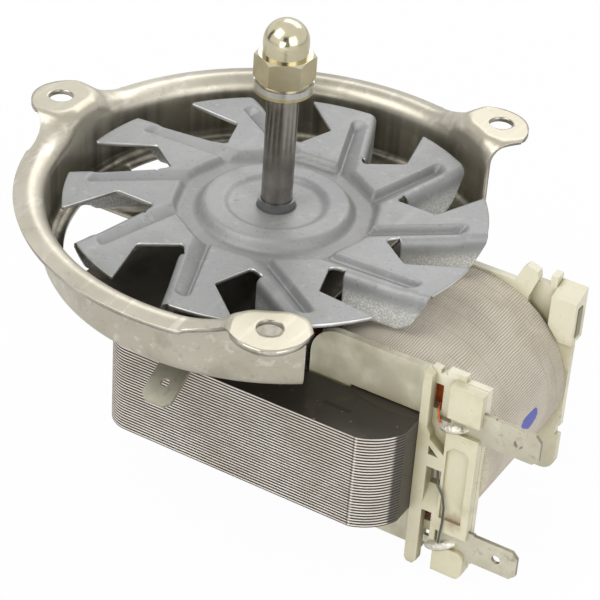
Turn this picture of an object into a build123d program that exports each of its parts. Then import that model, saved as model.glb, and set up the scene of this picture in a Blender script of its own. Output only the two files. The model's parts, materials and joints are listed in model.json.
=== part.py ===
from build123d import *
import math
import os

os.makedirs("parts", exist_ok=True)

# All sizes in millimetres, angles in degrees. The origin is the centre of the
# ear bolt circle, on the top faces of the ears. +Z runs up the shaft to the
# dome nut and +X points to the coil.

# Fits
snug = 0.05
running = 0.03
seat_gap = 0.3

# Mounting dish
dish_sheet = 1.0
ear_overhang = 5.7
wall_open = 51.5
dish_depth = 17.2
floor_bend_r = 2.5
lip_curl_r = 2.8
lip_crest_z = -3.5
lip_turn = 74.0
lip_reach = 5.1
ear_circle_d = 100.0
ear_angles = (60.0, 180.0, 300.0)
ear_hole_d = 4.8
ear_end_radii = (5.2, 5.6, 7.0)
ear_step = 13.0
ear_curl_r = 1.9
window_margin = 4.6
floor_band = 6.8
floor_front = 18.0
window_reach = 15.7
window_corner = 1.6
window_round = 4.0
floor_hole_r = 6.5

# Cooling fan
fan_z = -6.0
fan_sheet = 0.8
blade_count = 10
blade_tip_deg = 2.865
blade_gap = 3.0
blade_edge_deg = 17.4
notch_cut = 10.1
notch_deg = -10.83
relief_cut = 15.6
relief_deg = -0.2
relief_hole_r = 1.1
notch_fillet = 1.0
groove_depth = 1.7
groove_y = -9.75
groove_floor = 1.2
groove_steep = 0.8
groove_gentle = 2.1
groove_margin = 5.7
star_r = 18.5
star_slope = 1.0
bead_in_r = 9.2
bead_out_r = 15.0
bead_top = 0.4
hub_level = -0.4
vane_line_y = -14.05
vane_slope = 1.85
vane_length = 18.7
vane_depth = 8.3
vane_bend_r = 1.5
vane_nose = ((0.0, 0.0), (1.7, 4.2), (3.1, 6.9), (4.5, 8.0), (5.2, 8.3))

# Shaft line
shaft_r = 3.0
shaft_top = 27.5
bush_r = 3.55
bush_top = -4.8
bush_flange_r = 6.2
bush_flange_t = 2.0
bush_bottom = -12.0
washer_r = 5.55
washer_seat = 18.5
plain_washer_t = 0.63
lock_washer_t = 1.17
nut_flats = 10.0
nut_turn = 30.0
nut_base_gap = 0.3
nut_hex_h = 5.2
nut_band_r = 4.28
nut_band_h = 2.7
nut_apex = 32.6

# Stack
stack_drop = 9.0
stack_h = 20.5
yoke_left = -18.6
yoke_right = 43.4
yoke_half = 30.5
limb_inner = 18.5
pole_right = 14.0
bore_r = 11.3
corner_r = 5.9
cut_along_x = 6.6
cut_along_y = 6.4
cut_r = 10.6
bridge_hole_r = 2.0
core_left = 28.4
core_bulge = 1.9
core_end = 1.0
bolt_r = 2.0

# Brackets
base_drop = 13.3
bracket_t = 2.0
bracket_half_x = 9.5
leg_lean = 3.2
foot_margin = 3.0
bolt_inset = 1.5
bolt_flats = 7.0
bolt_head_h = 2.8
bolt_nut_h = 3.2
bolt_spare = 1.8
ball_r = 5.5
ball_half = 3.5
ball_drop = 3.4
rivet_sites = ((6.9, 8.2), (-6.9, 8.2), (6.9, -8.2), (-6.9, -8.2))
rivet_r = 1.5
rivet_head_r = 2.2
rivet_head_t = 1.0
cup_sheet = 0.6
cup_depth = 4.0
cup_step = 1.6
cup_lip = 0.7
cup_flange_r = 8.3
felt_r = 8.2
felt_t = 2.6
spacer_r = 4.6
spacer_play = 0.2

# Rotor
rotor_r = 10.9
ring_out_r = 10.3
ring_in_r = 5.0
ring_t = 1.2
bar_count = 17
bar_pitch_r = 9.4
bar_r = 0.8

# Shading rings
ring_wire_r = 0.95
ring_leg_polar = ((13.2, 115.0), (15.2, 158.0))

# Bobbin and winding
flange_play = 0.9
flange_t = 1.5
flange_left = 19.3
flange_width = 36.3
block_rise = 11.2
flange_lower = 0.8
flange_height = 40.4
rear_flange_height = 40.0
flange_corner = 6.0
rear_corner = 3.0
barrel_wall = 1.2
coil_r = 21.0
coil_flat_x = 19.6
coil_lift = 3.0
tape_t = 0.4

# Terminal block on the front flange. Widths run from its left edge and drops
# run down from the top of the block.
block_depth = 1.9
housing_proud = 0.4
post = (
    (-0.2, 2.8),
    (0.0, 0.0),
    (1.5, 0.9),
    (1.5, 12.0),
    (2.3, 13.4),
    (2.3, 43.2),
    (1.6, 44.1),
    (0.4, 44.1),
    (-0.2, 43.2),
)
bar = (2.3, 5.5, 17.8, 20.5)
housing = (5.4, 11.9, 0.9, 7.9)
panel = (5.4, 11.8, 11.0, 34.0)
recess = ((5.9, 15.6), (7.2, 14.3), (9.4, 14.3), (10.4, 15.3), (10.4, 31.0), (5.9, 31.0))
recess_depth = 0.6
rib = ((2.3, 14.4), (5.5, 16.9), (5.5, 18.0), (4.6, 18.0), (2.3, 15.8))
shelf_front = 29.0
shelf_back = 25.4
sill = (2.3, 5.5, 29.0, 30.6)
leg = (4.4, 5.5, 30.5, 36.6)
foot_block = (5.4, 11.7, 37.4, 43.6)
foot_corner = 1.6
horn = (0.4, 2.2, 0.0, 1.4)
upstand = (3.6, 7.3, -0.4, 1.4)
upper_slot = (0.9, 3.1, 3.2, 8.7)
window = (2.4, 5.3, 20.5, 25.4)
lower_slot = (1.0, 4.2, 31.2, 34.4)
lower_notch = (2.3, 5.4, 36.5, 46.0)

# Rear block
rear_lug = ((0.4, -1.2), (1.2, -3.2), (2.0, -4.1), (4.3, -3.4), (4.6, -1.9), (3.0, 2.8), (0.4, 2.8))
rear_opening = ((4.6, -5.0), (4.6, -1.9), (3.0, 2.8), (3.0, 12.0), (8.0, 12.0), (8.0, -5.0))
rear_slab = (2.6, 9.0, -0.6, 14.0)
rear_housing = ((8.0, 0.2), (13.2, 0.2), (13.2, 9.6), (10.6, 9.6), (8.0, 6.6))
rear_proud = 0.7
rear_depth = 4.1
rear_rise = 1.6
rear_upstand = (6.5, 7.9, -2.7, 1.0)
rear_clip = (12.4, 14.2, 28.8, 31.2)
insert_gap = 0.2
insert_depth = 1.7
insert_inset = 0.6
insert = (10.9, 13.4, 1.9, 8.2)

# Terminals
tab_w = 6.3
tab_t = 0.8
tab_inset = 0.3
tab_hole_r = 0.9
tab_hole_back = 4.2
tab_chamfer = 1.2
tab_shoulder = 0.25
tab_shoulder_run = 9.0
tab_root = 2.9
tab_tongue = 2.8
upper_tab_drop = 11.7
upper_tab_length = 20.4
lower_tab_drop = 39.0
lower_tab_length = 19.2
upper_solder = (3.1, 9.6, 9.5, 11.5)
upper_solder_tilt = 14.0
lower_solder = (3.1, 9.8, 36.7, 38.8)
lower_solder_tilt = 26.0
solder_depth = 1.4
tongue_margin = 0.3
wire_r = 0.2
start_path = ((2.5, -0.7, 7.6), (2.7, 0.45, 8.4), (3.7, 1.5, 10.3))
finish_path = (
    (4.2, 0.9, 21.4),
    (5.2, 2.3, 23.6),
    (6.4, 2.3, 25.6),
    (6.9, 2.3, 28.0),
    (6.9, 2.3, 31.5),
    (6.6, 2.4, 36.4),
)

# Earth tab
earth_x = -0.35
earth_slope = 31.0
earth_reach = 11.0
earth_hole_at = 6.5

# Levels and radii that follow from the sizes above
floor_under = -dish_depth
floor_top = floor_under + dish_sheet
stack_top = floor_under - stack_drop
stack_bottom = stack_top - stack_h
stack_mid = (stack_top + stack_bottom) / 2
base_level = stack_bottom - base_drop
block_top = stack_top + block_rise
flange_top = block_top - flange_lower
flange_out = limb_inner - flange_play
flange_in = flange_out - flange_t
coil_x = (core_left + yoke_right) / 2
coil_z = stack_mid
wall_r = ear_circle_d / 2 - ear_overhang
lip_edge_r = wall_r + lip_reach
floor_window_r = wall_r - window_margin
strip_out = floor_window_r - window_reach
blade_r = wall_r - dish_sheet - blade_gap
notch_r = blade_r - notch_cut
relief_r = blade_r - relief_cut
groove_end_x = blade_r - groove_margin
vane_inner_x = blade_r - vane_length
bolt_y = limb_inner + bolt_inset
bracket_leg_y = bolt_y - bolt_flats / 2 - seat_gap
bracket_plate_y = bracket_leg_y - leg_lean
bracket_foot_y = yoke_half - foot_margin
earth_bend_y = -yoke_half
cut_x = yoke_right - cut_along_x
cut_y = yoke_half - cut_along_y
core_bulge_y = limb_inner + core_bulge
core_end_y = limb_inner + core_end
flange_right = flange_left + flange_width
flange_bottom = flange_top - flange_height
rear_right = coil_x + coil_r
rear_bottom = block_top - rear_flange_height
block_front = flange_out + block_depth
tab_back = flange_out + tab_inset
block_left = yoke_right + seat_gap
upper_tab_z = block_top - upper_tab_drop
lower_tab_z = block_top - lower_tab_drop
upper_ball_z = floor_under - ball_drop
lower_ball_z = base_level + ball_half
fan_under_hub = fan_z + hub_level - fan_sheet
hex_corner_r = nut_flats / math.sqrt(3)
nut_seat = washer_seat + plain_washer_t + lock_washer_t
cup_r = ball_r + seat_gap + 0.2


def polar(radius, angle):
    return (radius * math.cos(math.radians(angle)), radius * math.sin(math.radians(angle)))


def arc_point(centre, radius, angle):
    dx, dy = polar(radius, angle)
    return (centre[0] + dx, centre[1] + dy)


def disc(radius, low, high, inner=0.0, at=(0.0, 0.0)):
    """A cylinder or ring between two levels."""
    body = Pos(at[0], at[1], low) * extrude(Circle(radius), high - low)
    if inner > 0:
        body -= Pos(at[0], at[1], low) * extrude(Circle(inner), high - low)
    return body


def block(x0, x1, y0, y1, z0, z1):
    centre = Pos((x0 + x1) / 2, (y0 + y1) / 2, (z0 + z1) / 2)
    return centre * Box(x1 - x0, y1 - y0, z1 - z0)


def turned(points):
    """A solid of revolution about Z from (radius, level) corners."""
    return revolve(Plane.XZ * make_face(Polyline(*points, close=True)), Axis.Z)


def upright(face, y0, y1):
    """Extrude a face drawn in (x, z) between two values of y."""
    return extrude(Plane.XZ.offset(-y0) * face, amount=-(y1 - y0))


def plan(points):
    return make_face(Polyline(*points, close=True))


def hexagon(flats, low, high, at=(0.0, 0.0)):
    corner = flats / math.sqrt(3)
    return Pos(at[0], at[1], low) * extrude(RegularPolygon(corner, 6), high - low)


def rim_face(curl_r, crest_z, turn, reach):
    """Section of the dish wall: floor bend, wall, outward curl and flange."""
    outer = wall_r
    inner = wall_r - dish_sheet
    half = dish_sheet / 2
    bend = (wall_r - floor_bend_r, floor_under + floor_bend_r)
    curl = (wall_r - half + curl_r, crest_z - half - curl_r)
    ahead = polar(1.0, turn - 90)
    run = (reach - curl[0] - curl_r * math.cos(math.radians(turn))) / ahead[0]
    under = arc_point(curl, curl_r - half, turn)
    over = arc_point(curl, curl_r + half, turn)
    under_end = (under[0] + ahead[0] * run, under[1] + ahead[1] * run)
    over_end = (over[0] + ahead[0] * run, over[1] + ahead[1] * run)
    middle = (180 + turn) / 2
    edges = [
        ThreePointArc(
            (bend[0], floor_under),
            arc_point(bend, floor_bend_r, -45),
            (outer, bend[1]),
        ),
        Line((outer, bend[1]), (outer, curl[1])),
        ThreePointArc((outer, curl[1]), arc_point(curl, curl_r - half, middle), under),
        Line(under, under_end),
        Line(under_end, over_end),
        Line(over_end, over),
        ThreePointArc(over, arc_point(curl, curl_r + half, middle), (inner, curl[1])),
        Line((inner, curl[1]), (inner, bend[1])),
        ThreePointArc(
            (inner, bend[1]),
            arc_point(bend, floor_bend_r - dish_sheet, -45),
            (bend[0], floor_top),
        ),
        Line((bend[0], floor_top), (bend[0], floor_under)),
    ]
    return Plane.XZ * make_face(edges)


def swept(face, start, end):
    return Rot(0, 0, start) * revolve(face, Axis.Z, end - start)


def blended(face_a, angle_a, face_b, angle_b):
    return loft([Rot(0, 0, angle_a) * face_a, Rot(0, 0, angle_b) * face_b], ruled=True)


def build_dish():
    lip = rim_face(lip_curl_r, lip_crest_z, lip_turn, lip_edge_r)
    ear = rim_face(ear_curl_r, 0.0, 90.0, ear_circle_d / 2)
    step = ear_step
    halves = [math.degrees(math.atan2(r, ear_circle_d / 2)) for r in ear_end_radii]
    body = swept(lip, ear_angles[0] + step, ear_angles[1] - step)
    body += swept(lip, ear_angles[1] + step, ear_angles[2] - step)
    for angle, half, end_r in zip(ear_angles, halves, ear_end_radii):
        body += swept(ear, angle - half, angle + half)
        pad = Rectangle(2 * end_r, 2 * end_r, align=(Align.MIN, Align.CENTER))
        end = Circle(end_r) & (Pos(-dish_sheet, 0) * pad)
        end_solid = Pos(ear_circle_d / 2, 0, -dish_sheet) * extrude(end, dish_sheet)
        body += Rot(0, 0, angle) * end_solid
    body += blended(ear, ear_angles[0] + halves[0], lip, ear_angles[0] + step)
    body += blended(lip, ear_angles[1] - step, ear, ear_angles[1] - halves[1])
    body += blended(ear, ear_angles[1] + halves[1], lip, ear_angles[1] + step)
    body += blended(lip, ear_angles[2] - step, ear, ear_angles[2] - halves[2])
    floor = Circle(wall_r - floor_bend_r)
    far = polar(2 * wall_r, wall_open)
    side = floor_front * math.tan(math.radians(wall_open))
    floor -= plan([(floor_front, side), far, (far[0], -far[1]), (floor_front, -side)])
    corner = Circle(floor_window_r)
    reach = 2 * floor_window_r
    for way in (1, -1):
        left = corner & plan(
            [
                (-strip_out, way * floor_band),
                (-reach, way * floor_band),
                (-reach, way * reach),
                (-strip_out, way * reach),
            ]
        )
        left = fillet([left.vertices().sort_by(Axis.X)[0]], window_round)
        rest = [vertex for vertex in left.vertices() if vertex.X > -strip_out - window_corner]
        floor -= fillet(rest, window_corner)
    body += Pos(0, 0, floor_under) * extrude(floor, dish_sheet)
    for angle in ear_angles:
        body -= disc(ear_hole_d / 2, -2 * dish_sheet, dish_sheet, at=polar(ear_circle_d / 2, angle))
    body -= disc(floor_hole_r, floor_under - 1, floor_top + 1)
    for at in rivet_sites:
        body -= disc(rivet_r + snug, floor_under - 1, floor_top + 1, at=at)
    return body


def vane_line(x):
    return vane_line_y + (x - vane_inner_x) * math.tan(math.radians(vane_slope))


def blade_outline():
    """Ten-pointed outline of the flat sheet, vanes left out."""
    edges = []
    for index in range(blade_count):
        turn = 360 / blade_count * index
        bend_in = (vane_inner_x, vane_line(vane_inner_x) + vane_bend_r)
        start = polar(blade_r, -blade_edge_deg)
        middle = polar(blade_r, -blade_edge_deg / 2)
        tip = polar(blade_r, 0)
        notch = polar(notch_r, notch_deg)
        relief = polar(relief_r, relief_deg)
        following = [
            polar(math.hypot(*p), math.degrees(math.atan2(p[1], p[0])) + turn)
            for p in (bend_in, start, middle, tip, notch, relief)
        ]
        next_in = polar(
            math.hypot(*bend_in),
            math.degrees(math.atan2(bend_in[1], bend_in[0])) + turn + 360 / blade_count,
        )
        edges.append(Line(following[0], following[1]))
        edges.append(ThreePointArc(following[1], following[2], following[3]))
        edges.append(Line(following[3], following[4]))
        edges.append(Line(following[4], following[5]))
        edges.append(Line(following[5], next_in))
    outline = make_face(edges)
    corners = [
        vertex
        for vertex in outline.vertices()
        if abs(math.hypot(vertex.X, vertex.Y) - notch_r) < 0.01
    ]
    outline = fillet(corners, notch_fillet)
    for index in range(blade_count):
        hole = polar(relief_r, relief_deg + 360 / blade_count * index)
        outline -= Pos(*hole) * Circle(relief_hole_r)
    return outline


def build_vane():
    """One folded vane: bend and hanging flap, cut to its side outline."""
    inner_r = vane_bend_r - fan_sheet
    bend = (vane_bend_r, -vane_bend_r)
    section = make_face(
        [
            ThreePointArc(
                (vane_bend_r, 0), arc_point(bend, vane_bend_r, 135), (0, -vane_bend_r)
            ),
            Line((0, -vane_bend_r), (0, -vane_depth)),
            Line((0, -vane_depth), (fan_sheet, -vane_depth)),
            Line((fan_sheet, -vane_depth), (fan_sheet, -vane_bend_r)),
            ThreePointArc(
                (fan_sheet, -vane_bend_r), arc_point(bend, inner_r, 135), (vane_bend_r, -fan_sheet)
            ),
            Line((vane_bend_r, -fan_sheet), (vane_bend_r, 0)),
        ]
    )
    outer_x = math.sqrt(blade_r**2 - vane_line_y**2)
    length = outer_x - vane_inner_x
    strip = extrude(Plane.YZ * section, length)
    nose = [(length - back, -drop) for back, drop in vane_nose]
    side = make_face(
        Polyline(
            (0, 1),
            (length + 1, 1),
            *nose,
            (0, -vane_depth),
            close=True,
        )
    )
    strip &= extrude(Plane.XZ * side, vane_bend_r + 1, both=True)
    return Pos(vane_inner_x, vane_line_y, fan_z) * Rot(0, 0, vane_slope) * strip


def build_fan():
    outline = blade_outline()
    drop = 3 * groove_depth
    raised = Pos(0, 0, -drop) * extrude(outline, drop)
    raised -= turned(
        [
            (0, -groove_depth),
            (star_r, -groove_depth),
            (star_r + star_slope, 0),
            (star_r + star_slope, 1),
            (0, 1),
        ]
    )
    half = groove_floor / 2
    pocket_face = make_face(
        Polyline(
            (groove_y - half, -groove_depth),
            (groove_y + half, -groove_depth),
            (groove_y + half + groove_steep, 0),
            (groove_y + half + groove_steep, 1),
            (groove_y - half - groove_gentle, 1),
            (groove_y - half - groove_gentle, 0),
            close=True,
        )
    )
    pocket = extrude(Plane.YZ * pocket_face, groove_end_x - bead_out_r)
    pocket = Pos(bead_out_r, 0, 0) * pocket
    for index in range(blade_count):
        raised -= Rot(0, 0, 360 / blade_count * index) * pocket
    raised += turned(
        [
            (0, -drop),
            (bead_out_r, -drop),
            (bead_out_r, -groove_depth),
            (bead_out_r - 1.2, bead_top - 0.3),
            (bead_out_r - 1.8, bead_top),
            (bead_in_r + 1.4, bead_top),
            (bead_in_r + 0.9, bead_top - 0.2),
            (bead_in_r, hub_level),
            (0, hub_level),
        ]
    )
    sheet = raised - Pos(0, 0, -fan_sheet) * raised
    sheet &= Pos(0, 0, -drop + 0.01) * extrude(Circle(2 * blade_r), 2 * drop)
    sheet -= disc(bush_r + snug, -drop, drop)
    body = Pos(0, 0, fan_z) * sheet
    vane = build_vane()
    for index in range(blade_count):
        body += Rot(0, 0, 360 / blade_count * index) * vane
    return Rot(0, 0, blade_tip_deg) * body


def build_bush():
    body = disc(bush_r, bush_bottom, bush_top)
    body += disc(bush_flange_r, fan_under_hub - bush_flange_t, fan_under_hub)
    return body - disc(shaft_r + snug, bush_bottom, bush_top)


def build_shaft():
    body = disc(shaft_r, base_level + 0.5, shaft_top)
    return chamfer(body.edges().filter_by(GeomType.CIRCLE), 0.4)


def build_nut():
    hex_low = nut_seat + nut_base_gap
    hex_high = hex_low + nut_hex_h
    band_top = hex_high + nut_band_h
    chamfer_drop = (hex_corner_r - nut_flats / 2) * math.tan(math.radians(30))
    body = Rot(0, 0, nut_turn) * hexagon(nut_flats, hex_low, hex_high)
    body &= turned(
        [
            (0, hex_low),
            (nut_flats / 2, hex_low),
            (hex_corner_r, hex_low + chamfer_drop),
            (hex_corner_r, hex_high - chamfer_drop),
            (nut_flats / 2, hex_high),
            (0, hex_high),
        ]
    )
    body += disc(nut_flats / 2 - 0.1, nut_seat, hex_low)
    body += disc(nut_band_r, hex_high, band_top)
    dome_z = nut_apex - nut_band_r
    dome = Pos(0, 0, dome_z) * Sphere(nut_band_r)
    body += dome & disc(nut_band_r + 1, dome_z, nut_apex + 1)
    body += disc(nut_band_r, band_top, dome_z)
    return body - disc(shaft_r + snug, nut_seat - 1, shaft_top + 0.5)


def core_face():
    bulge_x = (core_left + yoke_right) / 2
    return make_face(
        [
            Line((core_left, -limb_inner), (core_left, limb_inner)),
            ThreePointArc(
                (core_left, limb_inner), (bulge_x, core_bulge_y), (yoke_right, core_end_y)
            ),
            Line((yoke_right, core_end_y), (yoke_right, -core_end_y)),
            ThreePointArc(
                (yoke_right, -core_end_y), (bulge_x, -core_bulge_y), (core_left, -limb_inner)
            ),
        ]
    )


def yoke_corner_middle():
    """Middle of the corner arc between the limb's end and its outer side."""
    chord = math.hypot(yoke_right - cut_x, yoke_half - cut_y)
    rise = cut_r - math.sqrt(cut_r**2 - (chord / 2) ** 2)
    mid = ((yoke_right + cut_x) / 2, (yoke_half + cut_y) / 2)
    out = ((yoke_half - cut_y) / chord, (yoke_right - cut_x) / chord)
    return (mid[0] + out[0] * rise, mid[1] + out[1] * rise)


def build_yoke():
    mid = yoke_corner_middle()
    outline = make_face(
        [
            Line((yoke_left, yoke_half), (yoke_left, -yoke_half)),
            Line((yoke_left, -yoke_half), (cut_x, -yoke_half)),
            ThreePointArc((cut_x, -yoke_half), (mid[0], -mid[1]), (yoke_right, -cut_y)),
            Line((yoke_right, -cut_y), (yoke_right, cut_y)),
            ThreePointArc((yoke_right, cut_y), mid, (cut_x, yoke_half)),
            Line((cut_x, yoke_half), (yoke_left, yoke_half)),
        ]
    )
    left_corners = outline.vertices().sort_by(Axis.X)[:2]
    face = fillet(left_corners, corner_r)
    window = Rectangle(2 * yoke_right, 2 * limb_inner, align=(Align.MIN, Align.CENTER))
    face -= Pos(pole_right, 0) * window
    face -= offset(core_face(), snug)
    face -= Circle(bore_r)
    face -= Pos((yoke_left - bore_r) / 2 + 0.15, 0) * Circle(bridge_hole_r)
    for way in (1, -1):
        face -= Pos(0, way * bolt_y) * Circle(bolt_r + seat_gap)
        for radius, angle in ring_leg_polar:
            leg = polar(radius, angle)
            face -= Pos(leg[0] * way, leg[1] * way) * Circle(ring_wire_r + snug)
    return Pos(0, 0, stack_bottom) * extrude(face, stack_h)


def build_core():
    return Pos(0, 0, stack_bottom) * extrude(core_face(), stack_h)


def shading_ring(way):
    """A closed copper loop: two legs through the stack and two end bars."""
    legs = [polar(radius, angle) for radius, angle in ring_leg_polar]
    legs = [(x * way, y * way) for x, y in legs]
    over = ring_wire_r
    span = math.dist(*legs)
    heading = math.degrees(math.atan2(legs[1][1] - legs[0][1], legs[1][0] - legs[0][0]))
    low = stack_bottom - 2 * over
    high = stack_top + 2 * over
    loop = disc(over, low, high, at=legs[0]) + disc(over, low, high, at=legs[1])
    for level in (high - over, low + over):
        bar = Pos(*legs[0], level) * Rot(0, 0, heading) * Box(
            span, 2 * over, 2 * over, align=(Align.MIN, Align.CENTER, Align.CENTER)
        )
        loop += bar
    return loop


def bracket(foot_z, plate_z, way):
    """Bridge strap with two feet; way is +1 above the stack, -1 below it."""
    lean = bracket_t
    outer = plate_z
    inner = plate_z - way * bracket_t
    foot_out = foot_z + way * bracket_t
    half = [
        (bracket_plate_y, outer),
        (bracket_leg_y, foot_out),
        (bracket_foot_y, foot_out),
        (bracket_foot_y, foot_z),
        (bracket_leg_y - lean, foot_z),
        (bracket_plate_y - lean, inner),
    ]
    points = half + [(-y, z) for y, z in reversed(half)]
    face = make_face(Polyline(*points, close=True))
    body = extrude(Plane.YZ * face, bracket_half_x, both=True)
    lower, upper = sorted((foot_z, plate_z))
    ball_z = upper_ball_z if way > 0 else lower_ball_z
    body -= Pos(0, 0, ball_z) * Sphere(ball_r + seat_gap)
    for side in (1, -1):
        body -= disc(bolt_r + seat_gap, lower - 1, upper + 1, at=(0, side * bolt_y))
    if way > 0:
        for at in rivet_sites:
            body -= disc(rivet_r + snug, lower, upper + 1, at=at)
    return body


def bearing(ball_z):
    ball = Pos(0, 0, ball_z) * Sphere(ball_r)
    ball &= disc(2 * ball_r, ball_z - ball_half, ball_z + ball_half)
    return ball - disc(shaft_r + running, ball_z - ball_r, ball_z + ball_r)


def retainer(ball_z, plate_inner, way):
    """Sprung cup that holds the ball in its seat, turned away from the plate."""
    bend = cup_depth - cup_step
    points = [
        (cup_flange_r, 0),
        (cup_r, 0),
        (cup_r, bend),
        (cup_r - cup_lip, cup_depth),
        (cup_r - cup_lip + cup_sheet, cup_depth),
        (cup_r + cup_sheet, bend),
        (cup_r + cup_sheet, cup_sheet),
        (cup_flange_r, cup_sheet),
    ]
    return turned([(r, plate_inner - way * z) for r, z in points])


def felt(plate_inner, way):
    near = plate_inner - way * cup_sheet
    low, high = sorted((near, near - way * felt_t))
    return disc(felt_r, low, high, inner=cup_r + cup_sheet + 2 * snug)


def hex_bolt(at, head_seat, length):
    head = hexagon(bolt_flats, head_seat, head_seat + bolt_head_h, at=at)
    return head + disc(bolt_r, head_seat - length, head_seat, at=at)


def build_earth_tab():
    foot_z = stack_top + bracket_t
    tab_end = seat_gap - bolt_y + bolt_flats / 2
    foot = block(
        earth_x - tab_w / 2, earth_x + tab_w / 2, earth_bend_y, tab_end, foot_z, foot_z + tab_t
    )
    blade = Box(tab_w, earth_reach, tab_t, align=(Align.CENTER, Align.MAX, Align.MAX))
    ends = blade.edges().filter_by(Axis.Z).sort_by(Axis.Y)[:2]
    blade = chamfer(ends, tab_chamfer)
    blade -= Pos(0, -earth_hole_at, 0) * Cylinder(tab_hole_r, 4 * tab_t)
    blade = Pos(earth_x, earth_bend_y, foot_z + tab_t) * Rot(earth_slope, 0, 0) * blade
    return foot + blade - disc(bolt_r + seat_gap, foot_z - 1, foot_z + 2, at=(0, -bolt_y))


def build_cage():
    body = disc(ring_out_r, stack_top, stack_top + ring_t, inner=ring_in_r)
    body += disc(ring_out_r, stack_bottom - ring_t, stack_bottom, inner=ring_in_r)
    for index in range(bar_count):
        at = polar(bar_pitch_r, 360 / bar_count * index)
        body += disc(bar_r, stack_bottom, stack_top, at=at)
    return body


def build_rotor_core():
    face = Circle(rotor_r) - Circle(shaft_r + snug)
    for index in range(bar_count):
        face -= Pos(*polar(bar_pitch_r, 360 / bar_count * index)) * Circle(bar_r + snug)
    return Pos(0, 0, stack_bottom) * extrude(face, stack_h)


def coil_section(shrink):
    """Round section of the winding, flattened towards the shaft and below."""
    radius = coil_r - shrink
    cut = Rectangle(2 * coil_r, 3 * coil_r, align=(Align.MIN, Align.CENTER))
    face = (Pos(coil_x, coil_z) * Circle(radius)) & (Pos(coil_flat_x + shrink, coil_z) * cut)
    return face & (Pos(coil_x, coil_z + coil_lift) * Circle(radius))


def barrel_face(grow):
    width = yoke_right - core_left + 2 * grow
    return Pos((core_left + yoke_right) / 2, stack_mid) * Rectangle(width, stack_h + 2 * grow)


def build_winding():
    face = coil_section(tape_t + snug) - barrel_face(seat_gap + barrel_wall + snug)
    end = flange_in - 2 * snug - tape_t
    return upright(face, -end, end)


def build_tape():
    """Tape round the winding, turned in over its two ends."""
    end = flange_in - snug
    body = upright(coil_section(0), -end, end)
    body -= upright(coil_section(tape_t), -end + tape_t, end - tape_t)
    body -= upright(barrel_face(seat_gap + barrel_wall + snug), -end, end)
    for spot in (upper_slot, lower_slot):
        body -= on_block(spot, -end, -end + tape_t, snug)
    return body


def on_block(spot, y0, y1, grow=0.0):
    """A box on a flange from its widths and drops, between two values of y."""
    left, right, upper, lower = spot
    return block(
        block_left + left - grow,
        block_left + right + grow,
        y0,
        y1,
        block_top - lower - grow,
        block_top - upper + grow,
    )


def cut_shape(corners, y0, y1):
    """A prism on a flange from corners given as width and drop."""
    return upright(plan([(block_left + x, block_top - drop) for x, drop in corners]), y0, y1)


def flange_face(right, top, bottom, corner):
    sheet = plan([(flange_left, bottom), (right, bottom), (right, top), (flange_left, top)])
    left_corners = sheet.vertices().sort_by(Axis.X)[:2]
    sheet = fillet(left_corners, flange_corner)
    if corner > 0:
        lowest = sheet.vertices().sort_by(Axis.Y)[:2].sort_by(Axis.X)[-1]
        sheet = fillet([lowest], corner)
    return sheet - barrel_face(seat_gap)


def slope(spot, corners):
    """A prism across the width of a box whose side is given in (y, drop)."""
    side = make_face(Polyline(*[(y, block_top - drop) for y, drop in corners], close=True))
    return Pos(block_left + spot[0], 0, 0) * extrude(Plane.YZ * side, spot[1] - spot[0])


def build_front_block():
    front = -block_front
    deep = -flange_out
    inner = -flange_in
    body = cut_shape(post, front, deep) + cut_shape(rib, front, deep)
    for spot in (bar, panel, sill, leg):
        body += on_block(spot, front, deep)
    shelf = [
        (deep, shelf_back),
        (front, shelf_front),
        (front, sill[3]),
        (deep, sill[3]),
    ]
    body += slope(sill, shelf)
    foot = on_block(foot_block, front, inner)
    foot_edges = foot.edges().filter_by(Axis.Y).group_by(Axis.X)[-1]
    body += fillet(foot_edges, foot_corner)
    body += on_block(housing, front - housing_proud, inner)
    for spot in (horn, upstand):
        body += on_block(spot, deep, inner)
    body -= cut_shape(recess, front - 1, front + recess_depth)
    return body


def build_rear_block():
    near = flange_in
    far = flange_in + rear_depth
    body = cut_shape(rear_lug, near, flange_out + tape_t)
    body += on_block(rear_slab, flange_out, flange_out + flange_t)
    lip = near - rear_proud
    body += cut_shape(rear_housing, lip, far)
    top = rear_housing[0][1]
    side = [(lip, top), (far, top - rear_rise), (far, top + 1), (lip, top + 1)]
    body += slope((rear_housing[0][0], rear_housing[1][0]), side)
    body += on_block(rear_upstand, flange_out, far)
    return body


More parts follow.
